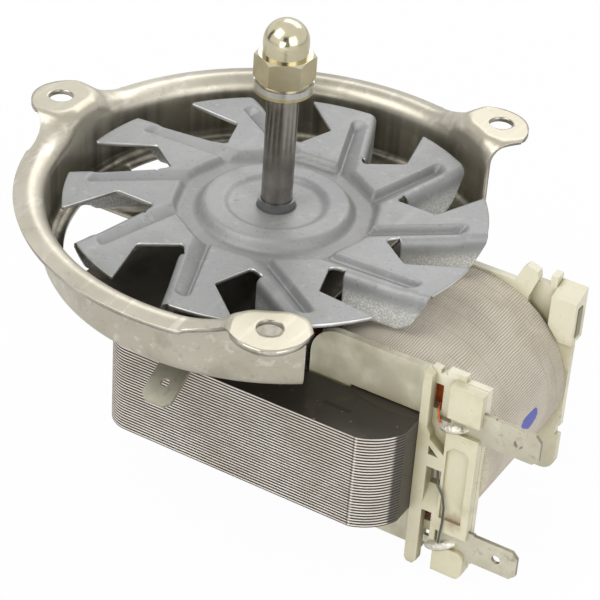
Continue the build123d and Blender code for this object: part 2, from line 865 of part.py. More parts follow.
def build_bobbin():
    barrel = barrel_face(seat_gap + barrel_wall) - barrel_face(seat_gap)
    body = upright(barrel, -flange_out, flange_out)
    front_sheet = flange_face(flange_right, flange_top, flange_bottom, 0.0)
    rear_sheet = flange_face(rear_right, block_top, rear_bottom, rear_corner)
    body += upright(front_sheet, -flange_out, -flange_in)
    for spot in (upper_slot, window, lower_slot, lower_notch):
        body -= on_block(spot, -flange_out - 1, -flange_in)
    rear = upright(rear_sheet, flange_in, flange_out)
    rear -= cut_shape(rear_opening, flange_in - 1, flange_out)
    rear -= on_block(rear_clip, flange_in, flange_out)
    body += rear + build_front_block() + build_rear_block()
    slot_y = flange_in + insert_inset
    slot = (insert[0], insert[1] + 1, insert[2], insert[3])
    body -= on_block(slot, slot_y - insert_gap, slot_y + insert_depth + insert_gap, insert_gap)
    tab_face = -tab_back - tab_t
    body -= solder_blob(upper_solder, upper_solder_tilt, snug)
    body -= solder_blob(lower_solder, lower_solder_tilt, snug)
    for low, length in ((upper_tab_z, upper_tab_length), (lower_tab_z, lower_tab_length)):
        body -= block(
            block_left + tab_root + tab_tongue - snug,
            block_left + tab_root + length,
            tab_face - snug,
            -tab_back + snug,
            low - tab_shoulder - snug,
            low + tab_w + tab_shoulder + snug,
        )
    for spot in (upper_solder, lower_solder):
        body -= on_block(tongue_spot(spot), tab_face - snug, -tab_back + snug, snug)
    return body


def tongue_spot(solder):
    """The narrow root of a tab that lies under its solder joint."""
    right = tab_root + tab_tongue + 1
    return (tab_root, right, solder[2] + tongue_margin, solder[3] - tongue_margin)


def flat_tab(low, length, solder):
    """A flat tab with a wide shoulder, a hole, cut corners and a narrow root."""
    face = Rectangle(length - tab_tongue, tab_w, align=(Align.MIN, Align.MIN))
    face = chamfer(face.vertices().sort_by(Axis.X)[-2:], tab_chamfer)
    shoulder = Rectangle(
        length - tab_tongue - tab_shoulder_run,
        tab_w + 2 * tab_shoulder,
        align=(Align.MIN, Align.MIN),
    )
    face += Pos(0, -tab_shoulder) * shoulder
    face = Pos(block_left + tab_root + tab_tongue, low) * face
    hole_x = block_left + tab_root + length - tab_hole_back
    face -= Pos(hole_x, low + tab_w / 2) * Circle(tab_hole_r)
    tab = upright(face, -tab_back - tab_t, -tab_back)
    return tab + on_block(tongue_spot(solder), -tab_back - tab_t, -tab_back)


def solder_blob(spot, tilt, grow=0.0):
    """A mound of solder on the front face of a tab, its right end tilted up."""
    left, right, upper, lower = spot
    face_y = -tab_back - tab_t
    half_long = (right - left) / 2 + grow
    half_high = (lower - upper) / 2 + grow
    mound = scale(Sphere(1.0), by=(half_long, solder_depth + grow, half_high))
    middle = Pos(block_left + (left + right) / 2, face_y, block_top - (upper + lower) / 2)
    room = Pos(0, -half_long + grow, 0) * Box(4 * half_long, 2 * half_long, 4 * half_long)
    return middle * ((Rot(0, -tilt, 0) * mound) & room)


def hang(dx, y, drop):
    """A point of a lead from its width and drop on the front block."""
    return (block_left + dx, y, block_top - drop)


def lead(points, radius):
    path = Polyline(*points)
    section = Plane(origin=points[0], z_dir=Vector(*points[1]) - Vector(*points[0])) * Circle(radius)
    return sweep(section, path, transition=Transition.ROUND)


nut_top = stack_bottom - bracket_t
upper_inner = floor_under - bracket_t
lower_inner = base_level + bracket_t
bolt_length = stack_h + 2 * bracket_t + bolt_nut_h + bolt_spare
bolt_sites = ((0, -bolt_y), (0, bolt_y))
head_seats = (stack_top + bracket_t + tab_t, stack_top + bracket_t)

nodes = {
    "mounting_dish": build_dish(),
    "earth_tab": build_earth_tab(),
    "dish_rivets": Compound(
        children=[
            disc(rivet_r, upper_inner, floor_top, at=at)
            + disc(rivet_head_r, floor_top, floor_top + rivet_head_t, at=at)
            + disc(rivet_head_r, upper_inner - rivet_head_t, upper_inner, at=at)
            for at in rivet_sites
        ]
    ),
    "upper_bracket": bracket(stack_top, floor_under, 1),
    "upper_bearing": bearing(upper_ball_z),
    "upper_retainer": retainer(upper_ball_z, upper_inner, 1),
    "upper_felt": felt(upper_inner, 1),
    "lower_bracket": bracket(stack_bottom, base_level, -1),
    "lower_bearing": bearing(lower_ball_z),
    "lower_retainer": retainer(lower_ball_z, lower_inner, -1),
    "lower_felt": felt(lower_inner, -1),
    "through_bolts": Compound(
        children=[hex_bolt(at, seat, bolt_length) for at, seat in zip(bolt_sites, head_seats)]
    ),
    "bolt_nuts": Compound(
        children=[
            hexagon(bolt_flats, nut_top - bolt_nut_h, nut_top, at=at)
            - disc(bolt_r + snug, stack_bottom - 10, stack_bottom, at=at)
            for at in bolt_sites
        ]
    ),
    "stator_yoke": build_yoke(),
    "coil_core": build_core(),
    "shading_rings": Compound(children=[shading_ring(1), shading_ring(-1)]),
    "rotor_core": build_rotor_core(),
    "rotor_cage": build_cage(),
    "thrust_spacers": Compound(
        children=[
            disc(
                spacer_r,
                stack_top,
                upper_ball_z - ball_half - spacer_play,
                inner=shaft_r + snug,
            ),
            disc(
                spacer_r,
                lower_ball_z + ball_half + spacer_play,
                stack_bottom,
                inner=shaft_r + snug,
            ),
        ]
    ),
    "shaft": build_shaft(),
    "fan_bush": build_bush(),
    "cooling_fan": build_fan(),
    "plain_washer": disc(
        washer_r, washer_seat, washer_seat + plain_washer_t, inner=shaft_r + snug
    ),
    "spring_washer": disc(
        washer_r, washer_seat + plain_washer_t, nut_seat, inner=shaft_r + snug
    ),
    "dome_nut": build_nut(),
    "bobbin": build_bobbin(),
    "winding": build_winding(),
    "coil_tape": build_tape(),
    "upper_terminal": flat_tab(upper_tab_z, upper_tab_length, upper_solder),
    "lower_terminal": flat_tab(lower_tab_z, lower_tab_length, lower_solder),
    "solder_joints": Compound(
        children=[
            solder_blob(upper_solder, upper_solder_tilt),
            solder_blob(lower_solder, lower_solder_tilt),
        ]
    ),
    "start_lead": lead(
        [hang(dx, -flange_out - out, drop) for dx, out, drop in start_path],
        wire_r,
    ),
    "finish_lead": lead(
        [hang(dx, -flange_out - out, drop) for dx, out, drop in finish_path],
        wire_r,
    ),
    "thermal_cutout": on_block(
        insert,
        flange_in + insert_inset,
        flange_in + insert_inset + insert_depth,
    ),
}

for name, shape in nodes.items():
    export_step(shape, "parts/" + name + ".step")
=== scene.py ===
import json
import math

import bpy
import numpy as np
from mathutils import Matrix, Vector, geometry


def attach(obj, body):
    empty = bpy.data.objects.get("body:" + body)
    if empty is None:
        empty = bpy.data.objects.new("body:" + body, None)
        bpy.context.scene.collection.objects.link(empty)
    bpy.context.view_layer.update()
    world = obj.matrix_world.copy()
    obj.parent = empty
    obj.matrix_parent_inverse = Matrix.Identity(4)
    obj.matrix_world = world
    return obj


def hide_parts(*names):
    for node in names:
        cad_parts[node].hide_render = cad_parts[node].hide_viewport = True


MM = 0.001
SHARP_DEG = 35.0

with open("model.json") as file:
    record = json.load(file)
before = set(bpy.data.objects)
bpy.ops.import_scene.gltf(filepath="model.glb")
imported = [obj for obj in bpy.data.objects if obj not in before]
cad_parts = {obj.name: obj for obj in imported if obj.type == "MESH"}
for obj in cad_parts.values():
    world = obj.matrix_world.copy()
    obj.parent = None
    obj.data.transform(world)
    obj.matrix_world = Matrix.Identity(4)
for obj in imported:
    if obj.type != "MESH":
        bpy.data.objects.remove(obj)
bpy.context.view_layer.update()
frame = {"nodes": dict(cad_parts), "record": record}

# Shaping
#
# Sizes are millimetres in the frame of the mounting dish: the origin is the
# centre of the ear circle, +Z runs up the shaft and +X points to the coil.


def add_object(name, data):
    """A new object in the scene that shows the data."""
    made = bpy.data.objects.new(name, data)
    bpy.context.scene.collection.objects.link(made)
    return made


def new_piece(name, points, faces, body, materials, nodes):
    """A smooth mesh piece from millimetre points; it rides a body and stands for nodes."""
    mesh = bpy.data.meshes.new(name)
    mesh.from_pydata([tuple(p) for p in np.asarray(points, float) * MM], [], faces)
    mesh.validate()
    mesh.update()
    piece = add_object(name, mesh)
    for material in materials:
        mesh.materials.append(material)
    mesh.polygons.foreach_set("use_smooth", [True] * len(mesh.polygons))
    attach(piece, body)
    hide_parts(*nodes)
    return piece


def thicken(piece, thickness):
    """Gives a sheet its thickness, away from the side that its normals face.

    The rim takes the second material of the piece.
    """
    solid = piece.modifiers.new("sheet", "SOLIDIFY")
    solid.thickness = thickness * MM
    solid.offset = -1.0
    solid.use_even_offset = False
    solid.material_offset_rim = 1


def soften(piece, width):
    """Rounds the sharp edges of a piece a little."""
    bevel = piece.modifiers.new("edge", "BEVEL")
    bevel.width = width * MM
    bevel.segments = 2
    bevel.limit_method = "ANGLE"
    bevel.angle_limit = math.radians(SHARP_DEG)
    bevel.harden_normals = False


def step(x, low, high):
    """Smooth rise from 0 at low to 1 at high."""
    t = np.clip((np.asarray(x, float) - low) / (high - low), 0.0, 1.0)
    return t * t * (3 - 2 * t)


def grid_faces(index):
    """Quads between neighbouring numbers of a grid of points."""
    quads = []
    for here, ahead in zip(index[:-1], index[1:]):
        for j in range(len(here) - 1):
            quads.append((here[j], ahead[j], ahead[j + 1], here[j + 1]))
    return quads


def polar(r, deg):
    """Points at a radius and an angle in degrees, as x and y."""
    a = np.radians(deg)
    return np.stack([r * np.cos(a), r * np.sin(a)], -1)


def turned_points(points, angle):
    """Points turned about the shaft by an angle in degrees."""
    a = math.radians(angle)
    c, s = math.cos(a), math.sin(a)
    p = np.array(points, float)
    q = p.copy()
    q[..., 0] = c * p[..., 0] - s * p[..., 1]
    q[..., 1] = s * p[..., 0] + c * p[..., 1]
    return q


# Cooling fan

FAN_Z = -6.0
FAN_SHEET = 0.8
BLADES = 10
PITCH = 360.0 / BLADES
TIP_DEG = 2.865
BLADE_R = 40.3
GROOVE_Y = -9.75
GROOVE_DEPTH = 1.7
GROOVE_START = 12.0
GROOVE_END = 34.9
STAR_R = 18.9
BEAD_EDGE = (13.5, 15.5)
BEAD_RISE = 0.4
HUB_EDGE = (8.6, 10.2)
HUB_DROP = 0.85
HUB_HOLE_R = 3.6
NOTCH_R = 30.2
NOTCH_DEG = -10.83
NOTCH_SHARE = 0.42
TIP_CUT = (0.25, 0.15)
RELIEF = (24.7, -0.09)
RELIEF_IN_R = 1.1
RELIEF_R = 1.25
RELIEF_START = -138.0
RELIEF_END = 90.0
RELIEF_SHARE = 0.58
VANE_Y = -14.05
VANE_TURN = 1.85
VANE_SLOPE = math.tan(math.radians(VANE_TURN))
VANE_IN_X = 21.6
VANE_OUT_X = 38.4
VANE_DEPTH = 8.3
VANE_NOSE = (
    (0.0, 0.02), (0.5, 1.5), (1.7, 4.2), (3.1, 6.9), (4.5, 8.0), (5.3, VANE_DEPTH), (60.0, VANE_DEPTH),
)
BEND_R = 1.5


def fan_height(x, y):
    """Level of the fan's upper face in the frame of one blade, whose tip is on +X.

    The pads lie at 0. A ring round the hub and one groove for each blade are
    pressed down, steep on the side of the pad and gentle on the other side, and
    a round bead and a dished hub rise inside the ring.
    """
    r = np.hypot(x, y)
    depth = np.zeros_like(r)
    for turn in (-PITCH, 0.0, PITCH):
        a = math.radians(-turn)
        gx = x * math.cos(a) - y * math.sin(a)
        gy = x * math.sin(a) + y * math.cos(a)
        w = gy - GROOVE_Y + 0.006 * (gx - 26)
        end = GROOVE_END - 0.20 * np.clip(w + 0.2, -3, 3) ** 2
        steep = 1 - step(w, 0.1, 1.0)
        gentle = np.clip((w + 3.1) / 3.0, 0, 1) ** 1.15
        along = 1 - step(gx, end - 1.5, end + 0.5)
        depth = np.maximum(depth, (gx > GROOVE_START) * steep * gentle * along)
    polygon = STAR_R + 0.25 * np.cos(np.radians(10 * np.degrees(np.arctan2(y, x))))
    ring = 1 - step(r, polygon - 0.6, polygon + 0.75)
    depth = np.maximum(depth, ring)
    level = -GROOVE_DEPTH * depth
    bead = 1 - step(r, *BEAD_EDGE)
    level = level * (1 - bead) + bead * BEAD_RISE
    hub = 1 - step(r, *HUB_EDGE)
    return level - HUB_DROP * hub


def blade_patch(rows, cols):
    """Grid of points on one flat blade, and its straight leading edge.

    The patch is ruled between the leading edge, where the vane folds down, and
    the free trailing edge, which runs out along the notch to the tip.
    """
    bend_in = np.array([VANE_IN_X, VANE_Y + BEND_R])
    out_y = VANE_Y + BEND_R + (VANE_OUT_X - VANE_IN_X) * VANE_SLOPE
    bend_out = np.array([math.sqrt(BLADE_R**2 - out_y**2), out_y])
    tip = np.array([BLADE_R - TIP_CUT[0], -TIP_CUT[1]])
    notch = polar(NOTCH_R, NOTCH_DEG)
    trail_in = np.array(RELIEF) + polar(RELIEF_IN_R, RELIEF_START)
    v = np.linspace(0, 1, rows + 1)
    lead = bend_in + v[:, None] * (bend_out - bend_in)
    trail = np.where(
        (v < NOTCH_SHARE)[:, None],
        trail_in + (v / NOTCH_SHARE)[:, None] * (notch - trail_in),
        notch + ((v - NOTCH_SHARE) / (1 - NOTCH_SHARE))[:, None] * (tip - notch),
    )
    for _ in range(3):
        trail[1:-1] = trail[1:-1] * 0.5 + 0.25 * (trail[:-2] + trail[2:])
    across = np.linspace(0, 1, cols + 1)
    lead_deg, trail_deg, out_deg, tip_deg = [
        math.degrees(math.atan2(p[1], p[0])) for p in (bend_in, trail_in, bend_out, tip)
    ]
    lead_r, trail_r = np.hypot(*bend_in), np.hypot(*trail_in)
    low = polar(lead_r + across * (trail_r - lead_r), lead_deg + across * (trail_deg - lead_deg))
    high = polar(BLADE_R, out_deg + across * (tip_deg - out_deg))
    high[-1] = tip
    high[-2] = 0.5 * (high[-3] + tip) + np.array([0.12, 0.0])
    patch = np.zeros((rows + 1, cols + 1, 2))
    for i in range(rows + 1):
        for j in range(cols + 1):
            a, b = v[i], across[j]
            ruled = (1 - b) * lead[i] + b * trail[i] + (1 - a) * low[j] + a * high[j]
            corner = (1 - a) * ((1 - b) * low[0] + b * low[-1]) + a * ((1 - b) * high[0] + b * high[-1])
            patch[i, j] = ruled - corner
    return patch, lead


def relief_path(bend_in, count):
    """Edge of the small round hole behind a blade, eased over to the next blade's fold."""
    turn = np.linspace(0, RELIEF_END - RELIEF_START, count + 1)[1:]
    around = np.array(RELIEF) + polar(RELIEF_R, RELIEF_START - turn * RELIEF_SHARE)
    next_in = turned_points(np.array([[bend_in[0], bend_in[1], 0]]), PITCH)[0][:2]
    ease = (np.linspace(0, 1, count + 1)[1:] ** 6)[:, None]
    return (around * (1 - ease) + next_in * ease)[:-1]


def hub_sector(rim_path, rows):
    """Rows of points from the shaft hole out to each point of the rim path."""
    share = np.linspace(0, 1, rows + 1)
    sector = []
    for end in rim_path:
        a = math.atan2(end[1], end[0])
        start = HUB_HOLE_R * np.array([math.cos(a), math.sin(a)])
        line = start + share[:, None] * (end - start)
        sector.append(np.concatenate([line, fan_height(line[:, 0], line[:, 1])[:, None]], 1))
    return np.array(sector)


def hanging_vane(lead, levels, rows):
    """Points of the vane below each point of the leading edge, round the bend and down."""
    length = np.linalg.norm(lead[-1] - lead[0])
    along = np.linspace(0, 1, len(lead)) * length
    depth = np.interp(length - along, *np.array(VANE_NOSE).T)
    ahead = np.array([math.sin(math.radians(VANE_TURN)), -math.cos(math.radians(VANE_TURN))])
    quarter = math.pi / 2 * BEND_R
    vane = np.zeros((len(lead), rows, 3))
    for i, edge in enumerate(lead):
        total = max(depth[i] - BEND_R, 0) + quarter * min(1, depth[i] / BEND_R)
        for j in range(rows):
            run = total * ((j + 1) / rows) ** 0.8
            if run < quarter:
                turn = run / BEND_R
                out, drop = BEND_R * math.sin(turn), BEND_R * (1 - math.cos(turn))
            else:
                out, drop = BEND_R, BEND_R + run - quarter
            vane[i, j] = (*(edge + ahead * out), levels[i] - drop)
    return vane


def fan_mesh():
    """The stamped sheet: a hub disc of polar rows, then a blade and its vane ten times.

    Neighbouring blades stay apart, which leaves the notches, and meet the hub
    disc in shared points.
    """
    rows_disc, cols_blade, cols_hole, rows_blade, rows_vane = 46, 64, 10, 60, 14
    patch, lead = blade_patch(rows_blade, cols_blade)
    levels = fan_height(patch[..., 0], patch[..., 1])
    blade = np.concatenate([patch, levels[..., None]], 2)
    vane = hanging_vane(lead, levels[:, 0], rows_vane)
    sector = hub_sector(np.concatenate([patch[0], relief_path(lead[0], cols_hole)], 0), rows_disc)
    points, faces = [], []

    def add(grid):
        """Adds a grid of points and gives their numbers."""
        start = len(points)
        points.extend(grid.reshape(-1, 3))
        return np.arange(start, len(points)).reshape(grid.shape[:-1])

    disc = [add(turned_points(sector, k * PITCH)) for k in range(BLADES)]
    lines = np.concatenate(disc + [disc[0][:1]])
    for here, ahead in zip(lines[:-1], lines[1:]):
        for i in range(rows_disc):
            faces.append((here[i], here[i + 1], ahead[i + 1], ahead[i]))
    for k in range(BLADES):
        inner = disc[k][None, : cols_blade + 1, rows_disc]
        index = np.concatenate([inner, add(turned_points(blade[1:], k * PITCH))])
        faces += grid_faces(index)
        hanging = np.concatenate([index[:, :1], add(turned_points(vane, k * PITCH))], 1)
        faces += [face[::-1] for face in grid_faces(hanging)]
    points = turned_points(np.array(points), TIP_DEG)
    points[:, 2] += FAN_Z
    return points, faces


# Mounting dish

WALL_R = 44.3
SHEET = 1.0
WALL_OPEN = 51.5
FLOOR_Z = -16.2
LIP_R = 49.4
LIP_FLAT_R = 46.6
EAR_R = 50.0
EAR_HOLE_R = 2.4
EARS = ((60.0, 55.1), (180.0, 55.5), (300.0, 57.0))
EAR_EDGE = (
    (0.0, 55.5), (1.5, 55.4), (3.0, 54.95), (4.5, 54.3), (5.6, 53.6), (6.4, 52.9), (7.2, 52.1),
    (8.0, 51.2), (8.8, 50.3), (9.6, 49.6), (10.6, 49.15), (12.4, 48.75), (15.0, 48.6), (17.0, 48.75),
    (18.1, 49.0), (18.5, 49.4), (180.0, 49.4),
)
EAR_RISE = (
    (0.0, 1.0), (7.6, 1.0), (8.4, 0.93), (9.2, 0.78), (10.2, 0.60), (11.6, 0.43), (13.4, 0.28),
    (15.6, 0.14), (18.0, 0.04), (20.0, 0.0), (180.0, 0.0),
)
HOLE_SPAN = 4.4
EAR_SPAN = 20.0
LIP_CURL = (2.8, -3.5, 74.0)
LIP_FALL = -0.28
EAR_LEVEL = (0.0, 90.0)
EAR_RINGS = 7
PROFILE_STEPS = (6, 10, 14, 18)
FLOOR_BEND_R = 1.5
FLOOR_FRONT = 18.0
FLOOR_HOLE_R = 6.5
WINDOW_R = 40.0
WINDOW_ARC = (170.1, 127.0)
WINDOW_START = (-24.0, 6.8)
WINDOW_ROUNDS = (1.6, 4.0, 1.2)


def rim_profile(curl_r, crest_z, turn, reach):
    """Inner side of the wall from the floor's bend up and out over the curl.

    A quarter circle turns the floor up into the wall, an arc of the curl's
    radius turns the wall over, and a straight flange runs out to reach.
    """
    bend = FLOOR_BEND_R
    middle = WALL_R - SHEET / 2
    pts = []
    for a in np.radians(np.linspace(-90, 0, PROFILE_STEPS[0])):
        pts.append((WALL_R - SHEET - bend + bend * math.cos(a), FLOOR_Z + bend + bend * math.sin(a)))
    curl = (middle + curl_r, crest_z - SHEET / 2 - curl_r)
    outer = curl_r + SHEET / 2
    for z in np.linspace(FLOOR_Z + bend, curl[1], PROFILE_STEPS[1])[1:]:
        pts.append((WALL_R - SHEET, z))
    for a in np.radians(np.linspace(180, turn, PROFILE_STEPS[2]))[1:]:
        pts.append((curl[0] + outer * math.cos(a), curl[1] + outer * math.sin(a)))
    last = pts[-1]
    ahead = (math.sin(math.radians(turn)), -math.cos(math.radians(turn)))
    run = (reach - last[0]) / ahead[0]
    for t in np.linspace(0, run, PROFILE_STEPS[3])[1:]:
        pts.append((last[0] + ahead[0] * t, last[1] + ahead[1] * t))
    return np.array(pts)


def ear_curl(off):
    """Radius of the wall's turn into an ear: tight behind the hole, wide at the shoulders."""
    return 1.9 + 3.4 * float(step(off, 3.0, 10.5))


def ear_outline(deg):
    """Radius of the sheet's outer edge and the share of ear height at each angle."""
    reach = np.full_like(deg, LIP_R)
    share = np.zeros_like(deg)
    off_table, edge_table = np.array(EAR_EDGE).T
    off_rise, rise_table = np.array(EAR_RISE).T
    for ear, tip in EARS:
        off = np.abs((deg - ear + 180) % 360 - 180)
        edge = np.interp(off, off_table, edge_table)
        edge = edge + (tip - edge_table[0]) * np.clip((edge - LIP_R) / (edge_table[0] - LIP_R), 0, 1)
        near = off < EAR_SPAN
        reach = np.where(near, edge, reach)
        share = np.maximum(share, np.interp(off, off_rise, rise_table))
    return reach, share


def floor_windows():
    """Outlines of the openings pressed through the floor, each corner rounded."""
    shapes = []
    count = 16
    first, second, last = WINDOW_ROUNDS
    corners = np.concatenate([[WINDOW_START], polar(WINDOW_R, np.linspace(*WINDOW_ARC, count))])
    for way in (1, -1):
        shapes.append(rounded(corners * (1, way), [first, second] + [0] * (count - 2) + [last]))
    shapes.append(polar(FLOOR_HOLE_R, np.linspace(0, 360, 48, endpoint=False)))
    return shapes


def rounded(corners, radii, count=7):
    """A closed outline with each corner cut back and turned by a quadratic curve."""
    out = []
    total = len(corners)
    for k in range(total):
        here = np.array(corners[k], float)
        if radii[k] <= 0:
            out.append(here)
            continue
        before = np.array(corners[k - 1], float) - here
        after = np.array(corners[(k + 1) % total], float) - here
        step_in = min(radii[k], 0.98 * np.linalg.norm(before)) / np.linalg.norm(before)
        step_out = min(radii[k], 0.98 * np.linalg.norm(after)) / np.linalg.norm(after)
        a, b = here + before * step_in, here + after * step_out
        for t in np.linspace(0, 1, count):
            out.append((1 - t) ** 2 * a + 2 * t * (1 - t) * here + t * t * b)
    return np.array(out)


def flat_region(outline, holes):
    """Triangles filling an outline around its holes, as points and faces."""
    points, edges = [], []
    for ring in [outline] + holes:
        start = len(points)
        points += [Vector((float(x), float(y))) for x, y in ring]
        edges += [(start + k, start + (k + 1) % len(ring)) for k in range(len(ring))]
    found = geometry.delaunay_2d_cdt(points, edges, [], 1, 1e-5)
    corners, triangles = found[0], found[2]
    kept = []
    for tri in triangles:
        mid = sum((corners[i] for i in tri), Vector((0, 0))) / 3
        if inside(mid, outline) and not any(inside(mid, hole) for hole in holes):
            kept.append(tuple(tri))
    return np.array([(c[0], c[1]) for c in corners]), kept


def inside(point, ring):
    """Whether a point lies in a closed outline, by counting crossings."""
    x, y = point[0], point[1]
    x0, y0 = ring[:, 0], ring[:, 1]
    x1, y1 = np.roll(x0, -1), np.roll(y0, -1)
    crossing = (y0 > y) != (y1 > y)
    rise = np.where(y1 == y0, 1e-12, y1 - y0)
    at = x0 + (y - y0) / rise * (x1 - x0)
    return bool(np.count_nonzero(crossing & (x < at)) % 2)


def rim_grid(deg):
    """Grid of points round the dish: the rim's profile at each angle, blended into the ears."""
    lip = rim_profile(*LIP_CURL, LIP_R)
    reach, share = ear_outline(deg)
    rows = []
    for d, w, r in zip(deg, share, reach):
        off = min(abs((d - ear_deg + 180) % 360 - 180) for ear_deg, _ in EARS)
        p = lip * (1 - w) + rim_profile(ear_curl(off), *EAR_LEVEL, LIP_R) * w
        flat = p[:, 0] > LIP_FLAT_R
        grow = (p[flat, 0] - LIP_FLAT_R) / (p[-1, 0] - LIP_FLAT_R)
        drop = p[flat, 1] + (1 - w) * (r - p[-1, 0]) * grow * LIP_FALL
        p[flat, 0] = LIP_FLAT_R + grow * (r - LIP_FLAT_R)
        p[flat, 1] = drop
        a = math.radians(d)
        rows.append(np.stack([p[:, 0] * math.cos(a), p[:, 0] * math.sin(a), p[:, 1]], 1))
    return np.array(rows)


def border(left, right, low, high):
    """Places in a grid once round the border of a block."""
    loop = [(i, low) for i in range(left, right + 1)]
    loop += [(right, j) for j in range(low + 1, high + 1)]
    loop += [(i, high) for i in range(right - 1, left - 1, -1)]
    loop += [(left, j) for j in range(high - 1, low, -1)]
    return loop


def ear_rings(edge, middle):
    """Rings of points from the border of a block in to the round hole of its ear."""
    rings = []
    for t in np.arange(1, EAR_RINGS + 1) / EAR_RINGS:
        ring = []
        for p in edge:
            away = p[:2] - middle
            on_hole = middle + EAR_HOLE_R * away / np.linalg.norm(away)
            ring.append((*(p[:2] * (1 - t) + on_hole * t), p[2] * (1 - t)))
        rings.append(ring)
    return rings


def dish_mesh():
    """Floor with its windows, bend, wall, curled lip and three pierced ears.

    The rim is a grid of angle by profile. On each ear a block of the grid is
    laid out again as rings between the block's border and the round hole.
    """
    fine = [ear_deg + np.linspace(-EAR_SPAN, EAR_SPAN, 121) for ear_deg, _ in EARS]
    deg = np.unique(np.round(np.concatenate([np.linspace(WALL_OPEN, 360 - WALL_OPEN, 180)] + fine), 4))
    deg = deg[(deg >= WALL_OPEN) & (deg <= 360 - WALL_OPEN)]
    grid = rim_grid(deg)
    wide, tall = grid.shape[:2]
    points = [tuple(p) for p in grid.reshape(-1, 3)]
    faces = []
    blocks = []
    first_flat = int(np.argmax(rim_profile(ear_curl(0.0), *EAR_LEVEL, LIP_R)[:, 0] > LIP_FLAT_R))
    for ear_deg, _ in EARS:
        columns = np.nonzero(np.abs(deg - ear_deg) <= HOLE_SPAN)[0]
        blocks.append((columns[0], columns[-1]))
    for i in range(wide - 1):
        for j in range(tall - 1):
            if j >= first_flat and any(a <= i < b for a, b in blocks):
                continue
            k = i * tall + j
            faces.append((k, k + 1, k + tall + 1, k + tall))
    for (ear_deg, _), (left, right) in zip(EARS, blocks):
        loop = border(left, right, first_flat, tall - 1)
        before = [i * tall + j for i, j in loop]
        for ring in ear_rings([grid[i, j] for i, j in loop], polar(EAR_R, ear_deg)):
            made = list(range(len(points), len(points) + len(ring)))
            points += ring
            for k in range(len(loop)):
                n = (k + 1) % len(loop)
                faces.append((before[k], made[k], made[n], before[n]))
            before = made
    side = FLOOR_FRONT * math.tan(math.radians(WALL_OPEN))
    outline = np.concatenate([grid[:, 0, :2], [(FLOOR_FRONT, -side), (FLOOR_FRONT, side)]])
    plate, triangles = flat_region(outline, floor_windows())
    start = len(points)
    points += [(x, y, FLOOR_Z) for x, y in plate]
    for triangle in triangles:
        faces.append(tuple(i * tall if i < wide else start + i for i in triangle))
    return points, faces


# Surfaces

COIL_X = 35.9
COIL_Z = -36.45
COIL_REACH = 21.0
STACK_SPAN = (-46.66, -26.24)
STACK_PITCH = 0.6406
TAPE_RIB = 0.5
TAPE_LAPS = (-9.2, -4.0, 1.6, 5.4, 10.6, 13.6)
MARKER_Y = 0.7
MARKER_ROUND = 3.6
MARKER_HALF = (3.5, 1.5)
FLUX_SPOTS = (
    ((52.5, -18.9, -46.2), 2.4, 0.55), ((53.0, -19.5, -24.6), 1.2, 0.7), ((53.2, -19.5, -51.6), 1.2, 0.6),
)


def link(tree, a, out, b, into):
    """Joins an output of one node to an input of another."""
    tree.links.new(a.outputs[out], b.inputs[into])


def node(tree, kind, at=(0, 0), **values):
    """A new shader node with its settings."""
    made = tree.nodes.new(kind)
    made.location = at
    for key, value in values.items():
        setattr(made, key, value)
    return made


def weathering_group():
    """Shared wear: slow cloudy tone, fine specks and short scratches, as factors."""
    group = bpy.data.node_groups.new("weathering", "ShaderNodeTree")
    face = group.interface
    defaults = {"Cloud scale": 60.0, "Speck scale": 900.0, "Speck amount": 0.3, "Scratch scale": 300.0}
    for name, default in defaults.items():
        made = face.new_socket(name=name, in_out="INPUT", socket_type="NodeSocketFloat")
        made.default_value = default
    for name in ("Cloud", "Specks", "Scratches"):
        face.new_socket(name=name, in_out="OUTPUT", socket_type="NodeSocketFloat")
    into = node(group, "NodeGroupInput")
    out = node(group, "NodeGroupOutput")
    place = node(group, "ShaderNodeTexCoord")
    tone = node(group, "ShaderNodeTexNoise")
    tone.inputs["Detail"].default_value = 4.0
    tone.inputs["Roughness"].default_value = 0.6
    link(group, place, "Object", tone, "Vector")
    link(group, into, "Cloud scale", tone, "Scale")
    link(group, tone, "Fac", out, "Cloud")
    speck = node(group, "ShaderNodeTexNoise")
    speck.inputs["Detail"].default_value = 2.0
    speck.inputs["Roughness"].default_value = 0.7
    link(group, place, "Object", speck, "Vector")
    link(group, into, "Speck scale", speck, "Scale")
    few = node(group, "ShaderNodeMapRange")
    few.inputs["From Min"].default_value = 0.60
    few.inputs["From Max"].default_value = 0.72
    link(group, speck, "Fac", few, "Value")
    many = node(group, "ShaderNodeMath", operation="MULTIPLY")
    link(group, few, "Result", many, 0)
    link(group, into, "Speck amount", many, 1)
    link(group, many, "Value", out, "Specks")
    stretch = node(group, "ShaderNodeMapping")
    stretch.inputs["Scale"].default_value = (1.0, 0.12, 1.0)
    stretch.inputs["Rotation"].default_value = (0.0, 0.0, 0.7)
    link(group, place, "Object", stretch, "Vector")
    scratch = node(group, "ShaderNodeTexNoise")
    scratch.inputs["Detail"].default_value = 3.0
    link(group, stretch, "Vector", scratch, "Vector")
    link(group, into, "Scratch scale", scratch, "Scale")
    keep = node(group, "ShaderNodeMapRange")
    keep.inputs["From Min"].default_value = 0.62
    keep.inputs["From Max"].default_value = 0.75
    link(group, scratch, "Fac", keep, "Value")
    link(group, keep, "Result", out, "Scratches")
    return group


WEAR = weathering_group()


